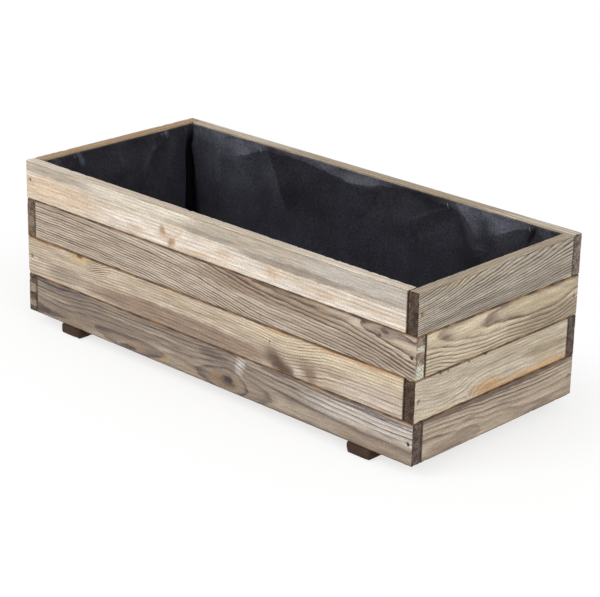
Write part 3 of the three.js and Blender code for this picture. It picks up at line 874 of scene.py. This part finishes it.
class Wall:
    """One wall of the liner: its length, its staples, whether it covers an upright, its folds."""

    def __init__(self, side):
        self.number = SIDES.index(side)
        self.long = side in ("front", "back")
        self.length = 2 * (INSIDE_X if self.long else INSIDE_Y)
        self.across = INSIDE_Y if self.long else INSIDE_X
        self.staples = [share * self.length for share in (LONG_STAPLES if self.long else SHORT_STAPLES)]
        self.steps = LONG_STEPS if self.long else SHORT_STEPS
        self.folds = FOLDS[side]
        self.turn = Matrix.Rotation(self.number * math.pi / 2, 3, "Z")

    def slack(self, along):
        """0 at a staple and up to 1 midway between two. A long span hangs flatter than a short one."""
        places = [0.0, *self.staples, self.length]
        following = next((i for i, place in enumerate(places) if place >= along), len(places) - 1)
        start = places[max(following - 1, 0)]
        end = places[max(following, 1)]
        looseness = min(LOOSE_SPAN / (end - start), 1.0)
        return looseness * math.sin(math.pi * (along - start) / (end - start)) ** 2

    def folded(self, along, depth):
        """How far the folds push the felt out at a place on the wall."""
        total = 0.0
        for a0, d0, a1, d1, before, after, height in self.folds:
            run = (a1 - a0, d1 - d0)
            length = math.hypot(*run)
            share = ((along - a0) * run[0] + (depth - d0) * run[1]) / length**2
            aside = ((along - a0) * run[1] - (depth - d0) * run[0]) / length
            reach = after if aside > 0 else before
            past_end = max(-share, share - 1.0, 0.0) * length
            slope = max(1.0 - math.hypot(aside, past_end) / reach, 0.0)
            total += height * (1.0 - 0.5 * min(max(share, 0.0), 1.0)) * slope
        return total

    def stand_off(self, along, depth):
        """How far the felt stands off the wall."""
        slack = self.slack(along)
        hang = smooth(depth / mix(TIGHT_DROP, LOOSE_DROP, slack))
        off = LEAST_OFF + STAND_OFF * hang
        off += self.folded(along, depth) * smooth(depth / FOLD_DROP)
        place = Vector((along / SWELL_ALONG, depth / SWELL_DOWN, self.number * 7.3))
        off += hang * SWELL * noise.noise(place)
        off += smooth(depth / RIPPLE_DROP) * RIPPLE * noise.noise(place * RIPPLES)
        wave = noise.noise(Vector((along / RUFFLE_ALONG, 3.1, self.number)))
        off += (1 - smooth(depth / RUFFLE_DROP)) * slack * (RUFFLE + RUFFLE * wave)
        if self.long:
            beside = abs(along - self.length / 2) - UPRIGHT_HALF
            above_top = min(depth / (FELT_TOP - UPRIGHT_TOP - FELT), 1.0)
            over = (UPRIGHT_OUT + UPRIGHT_GAP) * above_top
            off = max(off, mix(over, off, smooth(beside / UPRIGHT_SLOPE)))
        return max(off, LEAST_OFF)

    def point(self, along, off, height):
        """A place in the box from a place along the wall, a distance off it and a height."""
        return self.turn @ Vector((along - self.length / 2, off - self.across, height))


def felt_ring(depth, inset):
    """The felt's outline at one depth, folded in at each corner, and how much painted shade each point gets
    in a corner's tuck.
    """
    points = []
    shade = []
    height = max(FELT_TOP - depth, FELT_FLOOR + FELT)
    first_tuck = mix(LEAST_TUCK, TUCK, 1.0 - math.exp(-depth / SHORT_TUCK_DROP))
    last_tuck = mix(LEAST_TUCK, LONG_TUCK, min(depth / LONG_TUCK_DROP, 1.0))
    opening = smooth(depth / TUCK_OPENS)
    bottom = TUCK_OFF + FELT + inset
    walls = [Wall(side) for side in SIDES]
    for wall, following in zip(walls, walls[1:] + walls[:1]):
        run = wall.length - first_tuck - last_tuck
        for i in range(wall.steps + 1):
            along = first_tuck + run * i / wall.steps
            points.append(wall.point(along, wall.stand_off(along, depth) + FELT + inset, height))
            shade.append(0.0)
        # Into the tuck along this wall, round the corner, and back out behind the next wall's felt.
        off = wall.stand_off(wall.length - last_tuck, depth) + FELT + inset
        hem = following.stand_off(first_tuck, depth) + FELT + inset
        undercut = UNDERCUT * opening * smooth((hem - bottom) / UNDERCUT_ROOM)
        # The felt deep in a tuck gets painted shade, which its material turns nearly black.
        for t in (0.25, 0.5, 0.75, 1.0):
            along = wall.length - mix(last_tuck, bottom + 2.0, t)
            points.append(wall.point(along, mix(off, bottom, smooth(t * 1.3)), height))
            shade.append(opening * smooth(t * 2.0))
        for along in (bottom, first_tuck * 0.55, first_tuck + undercut):
            points.append(following.point(max(along, bottom), bottom, height))
            shade.append(opening)
        points.append(following.point(first_tuck + 0.7 * undercut, mix(bottom, hem, 0.55), height))
        shade.append(opening * 0.8)
    return points, shade


def felt_mesh():
    """The liner: rings of felt from the top edge down the walls, round the heel and over the floor."""
    straight = FELT_TOP - FELT_FLOOR - FELT - HEEL
    levels = [(depth, 0.0) for depth in np.arange(0.0, FINE_DOWN_TO, RING_STEP)]
    levels += [(depth, 0.0) for depth in np.linspace(FINE_DOWN_TO, straight, LOWER_RINGS)]
    for i in range(1, HEEL_STEPS + 1):
        angle = math.pi / 2 * i / HEEL_STEPS
        levels.append((straight + HEEL * math.sin(angle), HEEL * (1 - math.cos(angle))))
    points = []
    shades = []
    rings = []
    for depth, inset in levels:
        ring, shade = felt_ring(depth, inset)
        rings.append(range(len(points), len(points) + len(ring)))
        points += ring
        shades += shade
    heel = points[-len(rings[-1]):]
    for t in FLOOR_RINGS:
        rings.append(range(len(points), len(points) + len(heel)))
        for point in heel:
            spine = max(min(point.x, SPINE), -SPINE) * (1 - t * 0.2)
            inner = point.lerp(Vector((spine, 0.0, point.z)), t)
            swell = FLOOR_SWELL * noise.noise(inner / FLOOR_SWELL_SIZE)
            inner.z = FELT_FLOOR + FELT + FLOOR_SWELL + swell
            points.append(inner)
            shades.append(0.0)
    faces = []
    for upper, lower in zip(rings, rings[1:]):
        for i in range(len(upper)):
            j = (i + 1) % len(upper)
            faces.append((upper[i], upper[j], lower[j], lower[i]))
    faces.append(tuple(rings[-1]))
    mesh = bpy.data.meshes.new("felt_liner")
    mesh.from_pydata([(point * MM)[:] for point in points], [], faces)
    # The tuck attribute holds painted shade, from 0 to 1, for the felt deep in the corner tucks.
    attribute = mesh.attributes.new("tuck", "FLOAT", "POINT")
    attribute.data.foreach_set("value", np.array(shades, np.float32))
    mesh.shade_smooth()
    return mesh


class PaintedLightPatch(NamedTuple):
    """A patch of painted highlight on the felt (above 0), or of painted shade (below 0).

    Its place is along the wall to the right seen from inside the box, and up. Sizes are in millimetres.
    """

    along: float
    up: float
    length: float
    height: float
    slant: float
    strength: float
    creased: bool = False


# Painted light on the felt of the back and left walls: highlights (strength above 0) and shade (below 0) on
# its folds and beside its staples.
PAINTED_FELT_LIGHT = {
    "back": [
        PaintedLightPatch(-325, 244, 290, 200, 0, 0.72),
        PaintedLightPatch(-197, 246, 170, 90, 121.5, 0.5, creased=True),
        PaintedLightPatch(-197, 240, 200, 190, -58.5, -0.36, creased=True),
        PaintedLightPatch(-268, 275, 110, 60, 19.5, 2.3, creased=True),
        PaintedLightPatch(-360, 288, 180, 42, 0, 1.9),
        PaintedLightPatch(-298, 281, 70, 36, 0, 1.4),
        PaintedLightPatch(-347, 244, 100, 26, 90, 0.5),
        PaintedLightPatch(-224, 292, 44, 18, 0, -0.7),
        PaintedLightPatch(-104, 284, 270, 60, -5.2, 2.0, creased=True),
        PaintedLightPatch(16, 283, 190, 56, 6.8, 1.7, creased=True),
        PaintedLightPatch(-110, 225, 210, 120, 0, -0.36),
        PaintedLightPatch(150, 290, 120, 30, 0, -0.45),
        PaintedLightPatch(157, 267, 120, 12, 27, 0.45),
        PaintedLightPatch(157, 268, 140, 80, 27, -0.25, creased=True),
        PaintedLightPatch(118, 195, 130, 110, -90, -0.2, creased=True),
        PaintedLightPatch(229, 279, 110, 90, -37, 1.6, creased=True),
        PaintedLightPatch(326, 275, 110, 60, 22.6, 1.7, creased=True),
        PaintedLightPatch(302, 278, 70, 36, 0, 1.4),
        PaintedLightPatch(285, 291, 190, 28, 0, 2.0),
        PaintedLightPatch(285, 270, 200, 60, 0, 0.3),
        PaintedLightPatch(248, 212, 80, 60, -50, -0.32),
        PaintedLightPatch(233, 252, 70, 28, -60, -0.28),
        PaintedLightPatch(268, 231, 50, 34, 0, 0.6, creased=True),
        PaintedLightPatch(370, 281, 50, 11, 63, -1.2),
        PaintedLightPatch(394, 291, 56, 24, 0, 1.6),
    ],
    "left": [
        PaintedLightPatch(-93, 284, 40, 18, -60, 2.4),
        PaintedLightPatch(112, 290, 26, 14, -58, 2.8),
        PaintedLightPatch(-150, 292, 40, 18, -40, 1.8),
        PaintedLightPatch(85, 212, 200, 110, 0, 0.12),
        PaintedLightPatch(80, 271, 20, 18, 0, 1.1),
        PaintedLightPatch(72, 259, 96, 44, 57, 0.55, creased=True),
        PaintedLightPatch(-2, 268, 60, 14, -80, 0.5),
        PaintedLightPatch(16, 226, 60, 34, 0, 0.2),
    ],
}
SEEN_AS = {"back": "front", "left": "right"}  # the side whose axes a wall shares seen from inside
PAINTED_LIGHT_REACH = {"back": INSIDE_Y, "left": INSIDE_X}
PAINTED_LIGHT_RUFFLE = (8.0, 8.0, 0.0)  # how far a patch's outline is ruffled
LEAST_PAINTED_LIGHT = 0.3


def painted_felt_light(tree, at):
    """How much lighter or darker the felt is painted, as highlights and shade on its folds and beside its
    staples.
    """
    ruffled = add(tree, "TexNoise", at, 1 / 26.0, 3.0).outputs["Color"]
    ruffled = add(tree, "StretchShift", ruffled, PAINTED_LIGHT_RUFFLE, [-r / 2 for r in PAINTED_LIGHT_RUFFLE])
    shade = 1.0
    for wall, patches in PAINTED_FELT_LIGHT.items():
        on_wall = seen_from_outside(tree, SEEN_AS[wall], -PAINTED_LIGHT_REACH[wall])
        on_wall = add(tree, "Shift", on_wall, ruffled)
        for patch in patches:
            inside = spot(tree, on_wall, *patch[:5], creased=patch.creased)
            shade = add(tree, "TimesPlus", add(tree, "Ease", inside, 0.0, 0.8), patch.strength, shade)
    return add(tree, "Larger", shade, LEAST_PAINTED_LIGHT)


def needled_felt():
    """Needled polyester felt, dyed black: matt, with a faint bluish sheen, and painted highlights and
    painted shade on its folds.
    """
    material, tree = new_material("needled_felt")
    at = on_object(tree)
    # The fibres are 0.03 mm thick. They are drawn as tufts of 3.5 mm, the least that shows.
    tufts = add(tree, "TexNoise", at, 1 / 3.5, 3.0, 0.7)
    cloud = add(tree, "TexNoise", at, 1 / 45.0, 3.0)
    share = add(tree, "MapRange", tufts, *NOISE, 0.5, 1.5)
    share = add(tree, "Times", share, add(tree, "MapRange", cloud, *NOISE, 0.8, 1.2))
    # Painted highlights and painted shade on the felt's folds and beside its staples.
    share = add(tree, "Times", share, painted_felt_light(tree, at))
    # Painted light: the felt is painted up to 1.35 times paler low down, to lift the shade deep in the box.
    height = add(tree, "SeparateXYZ", at).outputs["Z"]
    share = add(tree, "Times", share, add(tree, "MapRange", height, 130.0, 280.0, 1.35, 1.0))
    # Painted shade: deep in the corner tucks the felt is painted nearly black.
    tuck_painted_shade = add(tree, "Attribute", attribute_name="tuck").outputs["Fac"]
    colour = add(tree, "Blend", tuck_painted_shade, add(tree, "Shade", "#2b2b31", share), "#040405")
    bump = add(tree, "Bump", 0.6, 0.6 * MM, named={"Height": tufts})
    rough = add(tree, "MapRange", tufts, *NOISE, 0.45, 0.6)
    surface = {
        "Base Color": colour, "Roughness": rough, "IOR": 1.45, "Specular IOR Level": 0.15,
        "Sheen Weight": 0.1, "Sheen Roughness": 0.5, "Sheen Tint": "#a9b2d2", "Normal": bump,
    }
    add(tree, "OutputMaterial", add(tree, "BsdfPrincipled", named=surface))
    return material


# ---------------------------------------------------------------- staples

CROWN = 9.0
WIRE = 1.0
WIRE_BEND = 0.8
STAPLE_LEG = 3.0
STAPLE_LEAN = 65.0  # degrees from level
BELOW_TOP = 9.0  # how far below the felt's top edge a staple's middle lies


def galvanised_wire():
    """Galvanised staples after a season outside: the zinc has bloomed to a dull grey."""
    material, tree = new_material("galvanised_wire")
    bloom = add(tree, "TexNoise", on_object(tree), 1.5, 2.0)
    zinc = add(tree, "Blend", bloom, "#8f9297", "#5e6167")
    rough = add(tree, "MapRange", bloom, *NOISE, 0.45, 0.6)
    surface = {"Base Color": zinc, "Metallic": 1.0, "Roughness": rough}
    add(tree, "OutputMaterial", add(tree, "BsdfPrincipled", named=surface))
    return material


def staple(name, wall, along, material):
    """One staple: a crown flat on the felt, nearly upright, and two legs driven into the wall."""
    half = CROWN / 2
    lean = math.radians(STAPLE_LEAN)
    off = wall.stand_off(along, BELOW_TOP) + FELT + WIRE / 2
    leg = [(half - WIRE_BEND, off), (half, off - WIRE_BEND), (half, off - STAPLE_LEG)]
    route = [(-across, away) for across, away in reversed(leg)] + leg
    line = bpy.data.curves.new(name, "CURVE")
    line.dimensions = "3D"
    line.bevel_depth = WIRE / 2 * MM
    line.bevel_resolution = 3
    line.use_fill_caps = True
    spline = line.splines.new("POLY")
    spline.points.add(len(route) - 1)
    for point, (across, away) in zip(spline.points, route):
        beside = across * math.cos(lean)
        above = across * math.sin(lean)
        point.co = (*(wall.point(along + beside, away, FELT_TOP - BELOW_TOP + above) * MM), 1.0)
    piece = bpy.data.objects.new(name, line)
    bpy.context.scene.collection.objects.link(piece)
    line.materials.append(material)
    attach(piece, "root")
    return piece


# ---------------------------------------------------------------- the camera

EYE = Vector((2.1684, -2.2866, 1.3229))  # in metres
AZIMUTH, ELEVATION, ROLL = (math.radians(a) for a in (43.147, 20.978, 1.319))
LENS = 119.19


def make_camera():
    data = bpy.data.cameras.new("camera")
    data.lens = LENS
    camera = bpy.data.objects.new("camera", data)
    camera.location = EYE
    back = Vector((
        math.sin(AZIMUTH) * math.cos(ELEVATION),
        -math.cos(AZIMUTH) * math.cos(ELEVATION),
        math.sin(ELEVATION),
    ))
    aim = (-back).to_track_quat("-Z", "Y")
    camera.rotation_mode = "QUATERNION"
    camera.rotation_quaternion = aim @ Euler((0.0, 0.0, ROLL)).to_quaternion()
    bpy.context.scene.collection.objects.link(camera)
    bpy.context.scene.camera = camera


# ---------------------------------------------------------------- the studio

AMBIENT = 0.62
# Each lamp's direction, strength and width in degrees.
LAMPS = {"key": ((-0.30, -0.80, 0.75), 1.25, 34.0), "fill": ((0.85, -0.25, 0.50), 0.75, 50.0)}
FLOOR_REACH = 12.0  # in metres
SHADOW_FADES = (0.24, 0.5)  # metres along Y, and twice that along X, over which the floor turns white
SHADOW_LEFT = 0.7  # share of plain white in the floor up to there


def shown_white(tree):
    """1 for what the camera sees, also by way of metal or glass, and 0 for light on the object."""
    path = add(tree, "LightPath").outputs
    seen = add(tree, "Larger", path["Is Camera Ray"], path["Is Glossy Ray"])
    return add(tree, "Larger", seen, path["Is Transmission Ray"])


def make_world():
    world = bpy.data.worlds.new("studio")
    world.use_nodes = True
    tree = world.node_tree
    tree.nodes.clear()
    light = add(tree, "Background", "#ffffff", AMBIENT)
    white = add(tree, "Background", "#ffffff", 1.0)
    add(tree, "OutputWorld", add(tree, "MixShader", shown_white(tree), light, white))
    bpy.context.scene.world = world


def make_lamps():
    for name, (direction, strength, width) in LAMPS.items():
        lamp = bpy.data.lights.new(name, "SUN")
        lamp.energy = strength
        lamp.angle = math.radians(width)
        holder = bpy.data.objects.new(name, lamp)
        holder.rotation_mode = "QUATERNION"
        holder.rotation_quaternion = Vector(direction).to_track_quat("Z", "Y")
        bpy.context.scene.collection.objects.link(holder)


def make_floor():
    """A pale floor that keeps a faint shadow near the object and is white further off."""
    mesh = bpy.data.meshes.new("floor")
    corners = [(-1, -1), (1, -1), (1, 1), (-1, 1)]
    mesh.from_pydata([(x * FLOOR_REACH, y * FLOOR_REACH, 0.0) for x, y in corners], [], [(0, 1, 2, 3)])
    floor = bpy.data.objects.new("floor", mesh)
    bpy.context.scene.collection.objects.link(floor)
    material, tree = new_material("studio_floor")
    squeezed = add(tree, "Stretch", add(tree, "TexCoord").outputs["Object"], (0.5, 1.0, 1.0))
    fade = add(tree, "Ease", add(tree, "Length", squeezed), *SHADOW_FADES, SHADOW_LEFT, 1.0)
    fade = add(tree, "Times", fade, shown_white(tree))
    paint = add(tree, "BsdfDiffuse", "#f7f7f6", 0.5)
    white = add(tree, "Emission", "#ffffff", 1.0)
    add(tree, "OutputMaterial", add(tree, "MixShader", fade, paint, white))
    mesh.materials.append(material)


# ---------------------------------------------------------------- putting it together

def dress_board(side, course):
    node = f"{side}_board_{course}"
    low, high = in_mm(node)
    axis = 1 if side in ("front", "back") else 0
    outward = -1 if side in ("front", "left") else 1
    sunk = (axis, outward, [middle_of(f"corner_nail_{side}_{course}")])
    seed = SIDES.index(side) * 10.0 + course * 3.7
    mesh = board_mesh(f"{side}_timber_{course}", low, high, ARRIS, sunk, 1.0, seed)
    ends = side_ends(side, low, high)
    pine = weathered_pine(f"weathered_pine_{side}_{course}", side, ends, (low[2], high[2]), LOOKS[node])
    place_piece(f"{side}_timber_{course}", mesh, pine, node)


def dress_foot(end, material):
    low, high = in_mm(f"{end}_foot")
    nails = [middle_of(f"foot_nail_{side}_{end}") for side in ("front", "back")]
    mesh = board_mesh(f"{end}_batten", low, high, FOOT_ARRIS, (2, -1, nails), FOOT_WEAR, FOOT_SEEDS[end])
    place_piece(f"{end}_batten", mesh, material, f"{end}_foot")


def dress_nail(node, material):
    """A nail in place of its node: its head is on the outside, and under a foot at the bottom."""
    low, high = in_mm(node)
    head = (low + high) / 2
    axis = int(np.argmax(high - low))
    from_low = node.startswith("foot_nail") or head[axis] < 0
    head[axis] = low[axis] if from_low else high[axis]
    direction = np.zeros(3)
    direction[axis] = 1.0 if from_low else -1.0
    name = node.replace("nail", "wire_nail")
    mesh = nail_mesh(name, head, direction, high[axis] - low[axis])
    place_piece(name, mesh, material, node)


make_camera()
bpy.context.scene.view_settings.view_transform = "Standard"
make_world()
make_lamps()
make_floor()

steel = rusted_steel("rusted_steel", "#2a211b", "#5a4331")
dusty_steel = rusted_steel("dusty_steel", "#6f6050", "#9a8974")
dark_pine = dipped_pine()
inner_pine = planed_pine()

for side in SIDES:
    for course in COURSES:
        dress_board(side, course)

for end in ("left", "right"):
    dress_foot(end, dark_pine)

for name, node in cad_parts.items():
    if name.startswith(("corner_nail", "foot_nail")):
        dress_nail(name, dusty_steel if name.startswith(DUSTY_NAILS) else steel)
    elif "nail" in name or name.startswith("floor_board") or name.endswith("upright"):
        node.data.materials.clear()
        node.data.materials.append(steel if "nail" in name else inner_pine)

liner = place_piece("felt_liner", felt_mesh(), needled_felt(), "liner")
thick = liner.modifiers.new("thickness", "SOLIDIFY")
thick.thickness = FELT * MM
thick.offset = -1.0

zinc = galvanised_wire()
for side in SIDES:
    wall = Wall(side)
    for number, along in enumerate(wall.staples, start=1):
        staple(f"staple_{side}_{number}", wall, along, zinc)
